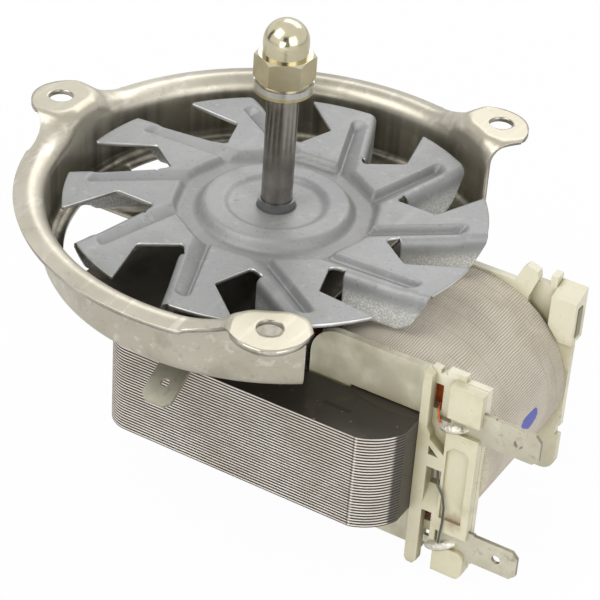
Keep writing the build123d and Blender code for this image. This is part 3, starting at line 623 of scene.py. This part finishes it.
def surface(name, colour, dark, roughness=0.5, metallic=0.0, cloud_scale=60.0, specks=0.3,
            speck_scale=900.0, scratches=0.2, bump=0.1, rough_swing=0.1):
    """A material with cloudy tone between two colours, specks, scratches and fine relief."""
    material = bpy.data.materials.new(name)
    material.use_nodes = True
    tree = material.node_tree
    shader = tree.nodes["Principled BSDF"]
    shader.inputs["Metallic"].default_value = metallic
    wear = node(tree, "ShaderNodeGroup", (-900, 0), node_tree=WEAR)
    wear.inputs["Cloud scale"].default_value = cloud_scale
    wear.inputs["Speck scale"].default_value = speck_scale
    wear.inputs["Speck amount"].default_value = specks
    tone = node(tree, "ShaderNodeMapRange", (-700, 200))
    tone.inputs["From Min"].default_value = 0.35
    tone.inputs["From Max"].default_value = 0.65
    link(tree, wear, "Cloud", tone, "Value")
    mix = node(tree, "ShaderNodeMix", (-500, 200), data_type="RGBA")
    mix.inputs["A"].default_value = (*dark, 1)
    mix.inputs["B"].default_value = (*colour, 1)
    link(tree, tone, "Result", mix, "Factor")
    dots = node(tree, "ShaderNodeMix", (-300, 200), data_type="RGBA")
    dots.inputs["B"].default_value = (*[c * 0.45 for c in dark], 1)
    tree.links.new(mix.outputs[2], dots.inputs[6])
    link(tree, wear, "Specks", dots, "Factor")
    lines = node(tree, "ShaderNodeMix", (-150, 200), data_type="RGBA")
    lines.inputs[7].default_value = (*[min(1, c * 1.25) for c in colour], 1)
    amount = node(tree, "ShaderNodeMath", (-300, -50), operation="MULTIPLY")
    amount.inputs[1].default_value = scratches
    link(tree, wear, "Scratches", amount, 0)
    tree.links.new(dots.outputs[2], lines.inputs[6])
    link(tree, amount, "Value", lines, "Factor")
    tree.links.new(lines.outputs[2], shader.inputs["Base Color"])
    rough = node(tree, "ShaderNodeMapRange", (-500, -150))
    rough.inputs["To Min"].default_value = roughness - rough_swing
    rough.inputs["To Max"].default_value = roughness + rough_swing
    link(tree, wear, "Cloud", rough, "Value")
    link(tree, rough, "Result", shader, "Roughness")
    relief = node(tree, "ShaderNodeBump", (-200, -300))
    relief.inputs["Strength"].default_value = bump
    relief.inputs["Distance"].default_value = 0.0002
    link(tree, wear, "Scratches", relief, "Height")
    link(tree, relief, "Normal", shader, "Normal")
    return material


def linear(r, g, b):
    """Scene colour of a screen colour given from 0 to 255."""
    out = []
    for c in (r, g, b):
        c = c / 255
        out.append(c / 12.92 if c <= 0.04045 else ((c + 0.055) / 1.055) ** 2.4)
    return tuple(out)


def maths(tree, kind, *terms):
    """The result of a math node whose terms are sockets or numbers."""
    made = node(tree, "ShaderNodeMath", operation=kind)
    for k, term in enumerate(terms):
        if isinstance(term, (int, float)):
            made.inputs[k].default_value = term
        else:
            tree.links.new(term, made.inputs[k])
    return made.outputs[0]


def ramp(tree, value, low, high, start=0.0, end=1.0):
    """Smooth change from start at low to end at high."""
    made = node(tree, "ShaderNodeMapRange", interpolation_type="SMOOTHSTEP")
    tree.links.new(value, made.inputs["Value"])
    for name, number in (("From Min", low), ("From Max", high), ("To Min", start), ("To Max", end)):
        made.inputs[name].default_value = number
    return made.outputs["Result"]


def band(tree, value, low, high, soft):
    """1 between low and high, 0 outside, with soft borders."""
    rise = ramp(tree, value, low - soft, low + soft)
    fall = ramp(tree, value, high - soft, high + soft, 1.0, 0.0)
    return maths(tree, "MULTIPLY", rise, fall)


def both(tree, *factors):
    """The product of several factors."""
    out = factors[0]
    for factor in factors[1:]:
        out = maths(tree, "MULTIPLY", out, factor)
    return out


def place_group():
    """Where a point lies: millimetres along each axis, its distance from the shaft
    and the run round the coil, counted on the outside of the tape."""
    group = bpy.data.node_groups.new("place in millimetres", "ShaderNodeTree")
    for name in ("X", "Y", "Z", "Reach", "Round"):
        group.interface.new_socket(name=name, in_out="OUTPUT", socket_type="NodeSocketFloat")
    out = node(group, "NodeGroupOutput")
    place = node(group, "ShaderNodeTexCoord")
    split = node(group, "ShaderNodeSeparateXYZ")
    group.links.new(place.outputs["Object"], split.inputs[0])
    x, y, z = [maths(group, "MULTIPLY", split.outputs[k], 1000.0) for k in range(3)]
    across = maths(group, "ADD", maths(group, "MULTIPLY", x, x), maths(group, "MULTIPLY", y, y))
    reach = maths(group, "SQRT", across)
    turn = maths(group, "ARCTAN2", maths(group, "ADD", z, -COIL_Z), maths(group, "ADD", x, -COIL_X))
    run = maths(group, "MULTIPLY", turn, COIL_REACH)
    for name, value in (("X", x), ("Y", y), ("Z", z), ("Reach", reach), ("Round", run)):
        group.links.new(value, out.inputs[name])
    return group


PLACE = place_group()


def where(material):
    """The place group in a material: its tree and its outputs by name."""
    tree = material.node_tree
    made = node(tree, "ShaderNodeGroup", node_tree=PLACE)
    return tree, made.outputs


def cloud(tree, scale, detail=3.0, stretch=(1.0, 1.0, 1.0)):
    """Object-space noise, its grain stretched by scale factors for each axis."""
    place = node(tree, "ShaderNodeTexCoord")
    turn = node(tree, "ShaderNodeMapping")
    turn.inputs["Scale"].default_value = stretch
    link(tree, place, "Object", turn, "Vector")
    made = node(tree, "ShaderNodeTexNoise")
    made.inputs["Scale"].default_value = scale
    made.inputs["Detail"].default_value = detail
    made.inputs["Roughness"].default_value = 0.55
    link(tree, turn, "Vector", made, "Vector")
    return made.outputs["Fac"]


def lay(material, colour, factor, strength=1.0):
    """Lays a colour over the material where a factor says so."""
    tree = material.node_tree
    target = tree.nodes["Principled BSDF"].inputs["Base Color"]
    before = target.links[0].from_socket
    mix = node(tree, "ShaderNodeMix", data_type="RGBA")
    tree.links.new(maths(tree, "MULTIPLY", factor, strength), mix.inputs[0])
    tree.links.new(before, mix.inputs[6])
    mix.inputs[7].default_value = (*colour, 1)
    tree.links.new(mix.outputs[2], target)


def shift(material, name, factor, amount):
    """Adds an amount of a shader value where a factor says so."""
    tree = material.node_tree
    target = tree.nodes["Principled BSDF"].inputs[name]
    more = maths(tree, "MULTIPLY", factor, amount)
    if target.links:
        tree.links.new(maths(tree, "ADD", target.links[0].from_socket, more), target)
    else:
        tree.links.new(maths(tree, "ADD", more, target.default_value), target)


def emboss(material, height, depth):
    """Relief on top of what the material has, in millimetres."""
    tree = material.node_tree
    target = tree.nodes["Principled BSDF"].inputs["Normal"]
    bump = node(tree, "ShaderNodeBump")
    bump.inputs["Strength"].default_value = 1.0
    bump.inputs["Distance"].default_value = depth * MM
    tree.links.new(height, bump.inputs["Height"])
    tree.links.new(target.links[0].from_socket, bump.inputs["Normal"])
    tree.links.new(bump.outputs["Normal"], target)


def grime(material, colour, scale, amount, low=0.52, high=0.68, stretch=(1.0, 1.0, 1.0)):
    """Cloudy dirt of one colour."""
    tree = material.node_tree
    lay(material, colour, ramp(tree, cloud(tree, scale, 4.0, stretch), low, high), amount)


def fan_surface():
    """Zinc coated sheet with a dusty matt skin, pale spangles and dark specks."""
    made = surface(
        "dull zinc fan sheet", linear(158, 159, 158), linear(140, 141, 140),
        0.52, 0.4, 45, 0.4, 1300, 0.3, 0.1)
    grime(made, linear(120, 118, 114), 90, 0.35)
    grime(made, linear(196, 197, 196), 500, 0.18, 0.58, 0.70)
    tree, at = where(made)
    lay(made, linear(110, 104, 96), band(tree, at["Reach"], 14.0, 20.0, 2.0), 0.25)
    vane = ramp(tree, at["Z"], -11.5, -8.5, 1.0, 0.0)
    lay(made, linear(206, 206, 200), vane, 0.45)
    lay(made, linear(240, 240, 234), both(tree, vane, ramp(tree, cloud(tree, 3200, 2.0), 0.46, 0.62)), 0.55)
    return made


def dish_surface():
    """Aluminised sheet, pale on the rim, with painted shade and streaky painted reflections inside the wall,
    and painted shade on the floor under the fan and on the far side of the rim.
    """
    made = surface(
        "satin aluminised sheet", linear(204, 199, 184), linear(180, 174, 158),
        0.36, 0.72, 35, 0.25, 700, 0.3, 0.1)
    tree, at = where(made)
    grime(made, linear(228, 224, 212), 420, 0.4, 0.55, 0.66, (1.0, 0.15, 1.0))
    grime(made, linear(140, 134, 118), 160, 0.35, 0.56, 0.72)
    # Painted shade on the inner wall below the curl, with dark and pale vertical streaks that are painted
    # reflections.
    inner = ramp(tree, at["Reach"], 43.5, 43.8, 1.0, 0.0)
    wall = both(tree, inner, ramp(tree, at["Z"], -8.5, -3.4, 1.0, 0.0))
    lay(made, linear(112, 106, 92), wall, 0.6)
    reflection_streaks = ramp(tree, cloud(tree, 150, 3.0, (1.0, 1.0, 0.05)), 0.44, 0.64)
    lay(made, linear(52, 48, 40), both(tree, wall, reflection_streaks), 0.6)
    pale = ramp(tree, cloud(tree, 330, 2.0, (1.0, 1.0, 0.04)), 0.60, 0.68)
    lay(made, linear(196, 190, 172), both(tree, wall, pale), 0.35)
    # Painted shade on the floor under the fan, deepest towards the front.
    low = both(tree, inner, ramp(tree, at["Z"], -15.6, -12.8, 1.0, 0.0))
    shade_under_fan = both(tree, low, ramp(tree, at["Reach"], 30.0, 37.5, 1.0, 0.15))
    front = ramp(tree, at["Y"], -14.0, 6.0, 1.0, 0.55)
    lay(made, linear(84, 80, 68), both(tree, shade_under_fan, front), 0.75)
    lay(made, linear(168, 162, 144), ramp(tree, at["Z"], -1.6, -0.6), 0.55)
    # Painted shade on the far side of the wall's upper part and curl.
    shaded_far_rim = both(tree, ramp(tree, at["Y"], 22.0, 40.0), band(tree, at["Z"], -9.0, -2.2, 0.6))
    lay(made, linear(124, 120, 106), shaded_far_rim, 0.42)
    return made


def stack_surface(name, skin):
    """Steel sheets seen on edge: a bright cut line and a dark joint for each sheet, painted light
    round the corner, and dark brown painted shade on the flat top and bottom."""
    made = surface(name, linear(240, 232, 222), linear(222, 212, 198), 0.4, 0.35, 80, 0.2)
    tree, at = where(made)
    wobble = maths(tree, "MULTIPLY", cloud(tree, 140, 2.0, (1.0, 1.0, 3.0)), 0.12)
    level = maths(tree, "MULTIPLY", maths(tree, "ADD", at["Z"], wobble), 2 * math.pi / STACK_PITCH)
    line = ramp(tree, maths(tree, "SINE", level), -0.42, 0.22)
    side = band(tree, at["Z"], *STACK_SPAN, 0.01)
    lay(made, linear(30, 27, 22), both(tree, line, side), 0.97)
    # A darker line, then a painted highlight on the sheets' cut edges where the front face starts to turn
    # round the corner.
    lay(made, linear(60, 54, 44), both(tree, side, band(tree, at["X"], 36.25, 36.5, 0.08)), 0.6)
    bright = ramp(tree, maths(tree, "SINE", level), -0.5, 0.3, 1.0, 0.35)
    corner = both(tree, bright, side, band(tree, at["X"], 36.65, 37.0, 0.08))
    lay(made, linear(244, 238, 228), corner, 0.8)
    patchy = ramp(tree, cloud(tree, 160, 3.0, (1.0, 1.0, 6.0)), 0.50, 0.66)
    lay(made, linear(104, 94, 80), both(tree, patchy, side), 0.16)
    # Painted shade on the sheets' edges past the round corner.
    end = both(tree, side, ramp(tree, at["X"], 42.2, 42.7))
    lay(made, linear(46, 41, 34), end, 0.85)
    # Dark brown painted shade on the flat top and bottom, with darker clouds and pale specks over it.
    flat = maths(tree, "SUBTRACT", 1.0, side)
    lay(made, linear(*skin), flat, 0.97)
    lay(made, linear(98, 84, 66), both(tree, flat, ramp(tree, cloud(tree, 110, 4.0), 0.56, 0.72)), 0.5)
    lay(made, linear(176, 164, 142), both(tree, flat, ramp(tree, cloud(tree, 700, 3.0), 0.68, 0.74)), 0.6)
    # A dark strip of painted shade in a dimple on the flat faces.
    dimple_shade = both(tree, band(tree, at["X"], 26.6, 32.3, 0.15), band(tree, at["Y"], -25.2, -24.2, 0.15), flat)
    lay(made, linear(20, 17, 14), dimple_shade, 0.8)
    shift(made, "Metallic", flat, -0.33)
    emboss(made, maths(tree, "MULTIPLY", line, side), -0.12)
    return made


def tape_surface():
    """Ribbed cloth tape round the coil, with lap lines and a stroke of blue marker."""
    made = surface(
        "woven winding tape", linear(222, 214, 198), linear(208, 199, 182), 0.75, 0.0, 60, 0.1, 500, 0.0, 0.1)
    tree, at = where(made)
    wobble = maths(tree, "MULTIPLY", cloud(tree, 220, 2.0), 0.5)
    run = maths(tree, "MULTIPLY", maths(tree, "ADD", at["Round"], wobble), 2 * math.pi / TAPE_RIB)
    rib = ramp(tree, maths(tree, "SINE", run), -0.7, 0.9)
    strength = ramp(tree, cloud(tree, 70, 3.0), 0.35, 0.6, 0.35, 1.0)
    lay(made, linear(128, 114, 96), both(tree, rib, strength), 0.5)
    emboss(made, rib, -0.1)
    drift = maths(tree, "ADD", at["Y"], maths(tree, "MULTIPLY", cloud(tree, 60, 2.0), 2.4))
    for y in TAPE_LAPS:
        line = both(tree, band(tree, drift, y, y + 0.16, 0.14), ramp(tree, cloud(tree, 90, 2.0), 0.40, 0.52))
        lay(made, linear(120, 108, 92), line, 0.38)
    grime(made, linear(160, 146, 126), 50, 0.35)
    ragged = maths(tree, "ADD", cloud(tree, 500, 3.0, (1.0, 0.4, 1.0)), -0.5)
    along = maths(tree, "MULTIPLY", maths(tree, "ADD", at["Y"], -MARKER_Y), 1 / MARKER_HALF[0])
    across = maths(tree, "MULTIPLY", maths(tree, "ADD", at["Round"], -MARKER_ROUND), 1 / MARKER_HALF[1])
    away = maths(tree, "ADD", maths(tree, "MULTIPLY", along, along), maths(tree, "MULTIPLY", across, across))
    stroke = ramp(tree, maths(tree, "ADD", away, maths(tree, "MULTIPLY", ragged, 2.2)), 0.8, 1.05, 1.0, 0.0)
    lay(made, linear(92, 102, 186), stroke, 0.93)
    return made


def ivory_surface():
    """Glossy ivory moulding with painted olive shade in its corners, stained by flux and dirt, and darker on
    the front of the flange, partly dirt and partly painted shade.
    """
    made = surface(
        "ivory moulding", linear(226, 222, 200), linear(214, 209, 184), 0.38, 0.0, 50, 0.12, 400, 0.05, 0.05)
    grime(made, linear(176, 166, 130), 110, 0.45, 0.50, 0.70)
    grime(made, linear(110, 96, 70), 420, 0.45, 0.66, 0.74)
    tree, at = where(made)
    # Cloudy darkening on the front of the flange below the dish, partly dirt and partly painted shade.
    cloud_patches = ramp(tree, cloud(tree, 90, 4.0), 0.36, 0.64)
    front = both(tree, band(tree, at["X"], 20.0, 42.5, 1.5), band(tree, at["Y"], -30.0, -14.0, 0.5), cloud_patches)
    lay(made, linear(134, 126, 102), front, 0.5)
    block = both(tree, ramp(tree, at["X"], 42.5, 44.0), band(tree, at["Y"], -30.0, -18.0, 0.5))
    lay(made, linear(176, 166, 126), block, 0.32)
    # Painted olive shade in corners and recesses, from an occlusion test.
    corner_shade = node(tree, "ShaderNodeAmbientOcclusion", samples=8)
    corner_shade.inputs["Distance"].default_value = 0.0045
    lay(made, linear(118, 106, 52), ramp(tree, corner_shade.outputs["AO"], 0.32, 0.82, 1.0, 0.0), 0.62)
    for spot, size, share in FLUX_SPOTS:
        dx, dy, dz = [maths(tree, "POWER", maths(tree, "ADD", at[a], -v), 2.0) for a, v in zip("XYZ", spot)]
        away = maths(tree, "SQRT", maths(tree, "ADD", maths(tree, "ADD", dx, dy), dz))
        spread = maths(tree, "ADD", away, maths(tree, "MULTIPLY", cloud(tree, 600, 3.0), 1.6))
        lay(made, linear(120, 84, 44), ramp(tree, spread, size * 0.5, size + 0.9, 1.0, 0.0), share)
    return made


def solder_surface():
    """Lumpy bright solder with brown flux in its hollows."""
    made = surface("solder with flux", linear(238, 235, 222), linear(206, 200, 184), 0.3, 0.5, 300, 0.3)
    tree = made.node_tree
    lumps = cloud(tree, 950, 4.0)
    lay(made, linear(84, 64, 40), ramp(tree, lumps, 0.58, 0.66), 0.6)
    emboss(made, lumps, 0.5)
    return made


def copper_surface():
    """Enamelled copper, bright in the slots of the terminal block and darkened elsewhere by painted shade."""
    made = surface("enamelled copper", linear(214, 112, 50), linear(150, 70, 30), 0.3, 0.5, 200, 0.3)
    tree, at = where(made)
    # Painted shade, nearly black, on the copper away from the terminal block.
    lay(made, linear(40, 26, 18), band(tree, at["X"], -40.0, 38.0, 0.5), 0.92)
    return made


def tab_surface():
    """Tinned sheet with brown spots, darker cut edges and a dull earth tab."""
    made = surface("tinned tab", linear(208, 204, 184), linear(186, 181, 160), 0.42, 0.55, 90, 0.35, 600, 0.4)
    grime(made, linear(120, 104, 74), 380, 0.4, 0.62, 0.72)
    tree, at = where(made)
    lay(made, linear(110, 104, 88), band(tree, at["Y"], -18.68, -17.92, 0.02), 0.7)
    lay(made, linear(128, 125, 112), band(tree, at["Y"], -60.0, -24.0, 0.5), 0.65)
    return made


FAN = fan_surface()
EDGE = surface("cut sheet edge", linear(214, 214, 212), linear(170, 168, 162), 0.35, 0.7, 80, 0.2, 900, 0.2)
DISH = dish_surface()
DISH_EDGE = surface(
    "bright cut edge of the dish", linear(200, 195, 182), linear(120, 112, 98), 0.3, 0.8, 80, 0.3, 600, 0.4)
# Both get painted shade on their flat faces: near black on the stack, a little lighter on the core.
LAM = stack_surface("stack of thin sheets", (32, 26, 18))
CORE = stack_surface("core of thin sheets", (44, 38, 28))
BOBBIN = ivory_surface()
TAPE = tape_surface()
COPPER = copper_surface()
TIN = tab_surface()
SOLDER = solder_surface()
NICKEL = surface(
    "nickel plate", linear(206, 199, 172), linear(190, 181, 152), 0.2, 1.0, 120, 0.1, 500, 0.3, 0.1, 0.05)
WASHER = surface("silver washer", linear(200, 198, 194), linear(170, 168, 162), 0.3, 0.95, 90, 0.2)
YELLOW = surface(
    "yellow passivated washer", linear(196, 184, 140), linear(150, 140, 104), 0.35, 0.9, 90, 0.2)
SHAFT = surface(
    "ground shaft", linear(154, 149, 142), linear(132, 127, 120), 0.22, 0.95, 200, 0.12, 900, 0.15)
BUSH = surface("dull turned bush", linear(128, 129, 128), linear(98, 99, 98), 0.42, 0.6, 120, 0.2)
SLEEVE = surface("enamelled lead end", linear(92, 96, 86), linear(66, 68, 60), 0.5, 0.0, 120, 0.2)
DARK = surface("dark moulding", linear(150, 146, 116), linear(120, 114, 88), 0.5, 0.0, 120, 0.2)
BRONZE = surface("sintered bronze", linear(160, 120, 76), linear(120, 88, 56), 0.5, 0.7, 200, 0.4)
FELT = surface("oiled felt", linear(110, 96, 76), linear(80, 68, 52), 0.9, 0.0, 300, 0.3)
ALU = surface("cast rotor rings", linear(200, 200, 202), linear(170, 170, 172), 0.4, 0.9, 120, 0.2)
ZINC = surface("zinc plated steel", linear(190, 190, 192), linear(160, 160, 164), 0.3, 0.9, 120, 0.2)

BY_SLOT = {
    "dish_metal": DISH, "tin_plate": TIN, "bronze": BRONZE, "spring_steel": WASHER, "felt": FELT,
    "zinc_steel": ZINC, "laminations": LAM, "copper": COPPER, "rotor_aluminium": ALU,
    "washer_yellow": YELLOW, "shaft_steel": SHAFT, "bush_steel": BUSH, "fan_sheet": FAN,
    "nut_nickel": NICKEL, "ivory_plastic": BOBBIN, "tape": TAPE, "solder": SOLDER,
    "sleeve_grey": SLEEVE, "dark_plastic": DARK,
}
for part in frame["record"]["subparts"]:
    shown = frame["nodes"][part["node"]]
    shown.data.materials.clear()
    shown.data.materials.append(CORE if part["node"] == "coil_core" else BY_SLOT[part["material_slot"]])

points, faces = fan_mesh()
fan = new_piece("fan_blades", points, faces, "rotor", [FAN, EDGE], ["cooling_fan"])
thicken(fan, FAN_SHEET)

points, faces = dish_mesh()
dish = new_piece("pressed_dish", points, faces, "frame", [DISH, DISH_EDGE], ["mounting_dish"])
thicken(dish, SHEET)

EDGE_ROUNDS = {
    "bobbin": 0.22, "upper_terminal": 0.08, "lower_terminal": 0.08, "earth_tab": 0.1, "dome_nut": 0.12,
}
for name, width in EDGE_ROUNDS.items():
    soften(frame["nodes"][name], width)

# Studio
#
# Places, sizes and distances are metres here, and lamp powers are watts.

FLOOR_HALF = 3.0
FLOOR_LEVEL = -0.0601
WORLD_LEVEL = 0.42
FLOOR_GLOW = 0.97
LAMPS = (
    ("key", (-0.35, -0.55, 0.75), (0, 0, -0.02), (0.6, 0.6), 4.6),
    ("low", (0.25, -0.85, 0.12), (0.02, 0, -0.03), (0.5, 0.3), 2.2),
    ("fill", (0.75, -0.35, 0.35), (0.01, 0, -0.02), (0.6, 0.6), 2.4),
    ("back", (-0.1, 0.7, 0.6), (0, 0, -0.02), (0.8, 0.4), 2.8),
)
CARDS = (
    ("front card", (0.42, -0.78, 0.42), (0.398, -0.725, 0.0), 0.55, 0.95),
    ("left card", (-0.95, -0.35, 0.30), (-0.9, -0.3, 0.0), 0.30, 0.9),
)
CAMERA_AT = (0.180188, -0.316090, 0.219378)
CAMERA_RIGHT = (0.85449, 0.51595, 0.06033)
CAMERA_UP = (-0.33375, 0.45629, 0.82487)
CAMERA_BACK = (0.39807, -0.72498, 0.56210)
CAMERA_LENS = 135.824


def flat_sheet(name, corners, material):
    """A staged sheet of four corners, outside the object."""
    mesh = bpy.data.meshes.new(name)
    mesh.from_pydata([tuple(c) for c in corners], [], [(0, 1, 2, 3)])
    mesh.materials.append(material)
    sheet = add_object(name, mesh)
    return sheet


def mixed(tree, factor, first, second, target):
    """Sends a mix of two shaders to a target socket."""
    mix = node(tree, "ShaderNodeMixShader")
    tree.links.new(factor, mix.inputs[0])
    tree.links.new(first.outputs[0], mix.inputs[1])
    tree.links.new(second.outputs[0], mix.inputs[2])
    tree.links.new(mix.outputs[0], target)


def background():
    """A world that lights at a plain level and is seen as white."""
    world = bpy.data.worlds.new("studio")
    bpy.context.scene.world = world
    world.use_nodes = True
    tree = world.node_tree
    tree.nodes.clear()
    out = node(tree, "ShaderNodeOutputWorld")
    light = node(tree, "ShaderNodeBackground")
    light.inputs["Color"].default_value = (1, 1, 1, 1)
    light.inputs["Strength"].default_value = WORLD_LEVEL
    seen = node(tree, "ShaderNodeBackground")
    seen.inputs["Color"].default_value = (1, 1, 1, 1)
    seen.inputs["Strength"].default_value = 1.0
    rays = node(tree, "ShaderNodeLightPath").outputs
    either = maths(tree, "MAXIMUM", rays["Is Camera Ray"], rays["Is Glossy Ray"])
    shown_white = maths(tree, "MAXIMUM", either, rays["Is Transmission Ray"])
    mixed(tree, shown_white, light, seen, out.inputs["Surface"])


def ground():
    """A white floor that keeps the object's shadow and fades into the background."""
    white = bpy.data.materials.new("white floor")
    white.use_nodes = True
    tree = white.node_tree
    shader = tree.nodes["Principled BSDF"]
    shader.inputs["Base Color"].default_value = (0.8, 0.8, 0.8, 1)
    shader.inputs["Roughness"].default_value = 0.9
    glow = node(tree, "ShaderNodeEmission")
    glow.inputs["Strength"].default_value = 1.0
    rays = node(tree, "ShaderNodeLightPath").outputs
    share = maths(tree, "MULTIPLY", rays["Is Camera Ray"], FLOOR_GLOW)
    mixed(tree, share, shader, glow, tree.nodes["Material Output"].inputs["Surface"])
    ends = ((-1, -1), (1, -1), (1, 1), (-1, 1))
    flat_sheet("floor", [(a * FLOOR_HALF, b * FLOOR_HALF, FLOOR_LEVEL) for a, b in ends], white)


def lamp(name, at, aim, size, power):
    """A soft rectangular light, in metres and watts."""
    data = bpy.data.lights.new(name, "AREA")
    data.shape = "RECTANGLE"
    data.size, data.size_y = size
    data.energy = power
    lit = add_object(name, data)
    lit.location = at
    lit.rotation_mode = "QUATERNION"
    lit.rotation_quaternion = (Vector(aim) - Vector(at)).to_track_quat("-Z", "Y")


def dark_cards():
    """Upright dark sheets that show only in the reflections of the metal."""
    dark = bpy.data.materials.new("dark card")
    dark.use_nodes = True
    shader = dark.node_tree.nodes["Principled BSDF"]
    shader.inputs["Base Color"].default_value = (0.02, 0.018, 0.015, 1)
    shader.inputs["Roughness"].default_value = 1.0
    for name, middle, facing, wide, tall in CARDS:
        away = Vector(facing).normalized()
        side = Vector((-away.y, away.x, 0.0)) * (wide / 2)
        rise = Vector((0, 0, tall / 2))
        ends = ((-1, -1), (1, -1), (1, 1), (-1, 1))
        card = flat_sheet(name, [Vector(middle) + side * a + rise * b for a, b in ends], dark)
        card.visible_camera = False
        card.visible_diffuse = False
        card.visible_shadow = False


def photo_camera():
    """The camera that matches the photo."""
    lens = bpy.data.cameras.new("camera")
    lens.sensor_width = 36.0
    lens.lens = CAMERA_LENS
    lens.clip_start = 0.01
    lens.clip_end = 10.0
    eye = add_object("camera", lens)
    turn = Matrix((CAMERA_RIGHT, CAMERA_UP, CAMERA_BACK)).transposed().to_4x4()
    eye.matrix_world = Matrix.Translation(CAMERA_AT) @ turn
    bpy.context.scene.camera = eye


bpy.context.scene.view_settings.view_transform = "Standard"
background()
ground()
for row in LAMPS:
    lamp(*row)
dark_cards()
photo_camera()
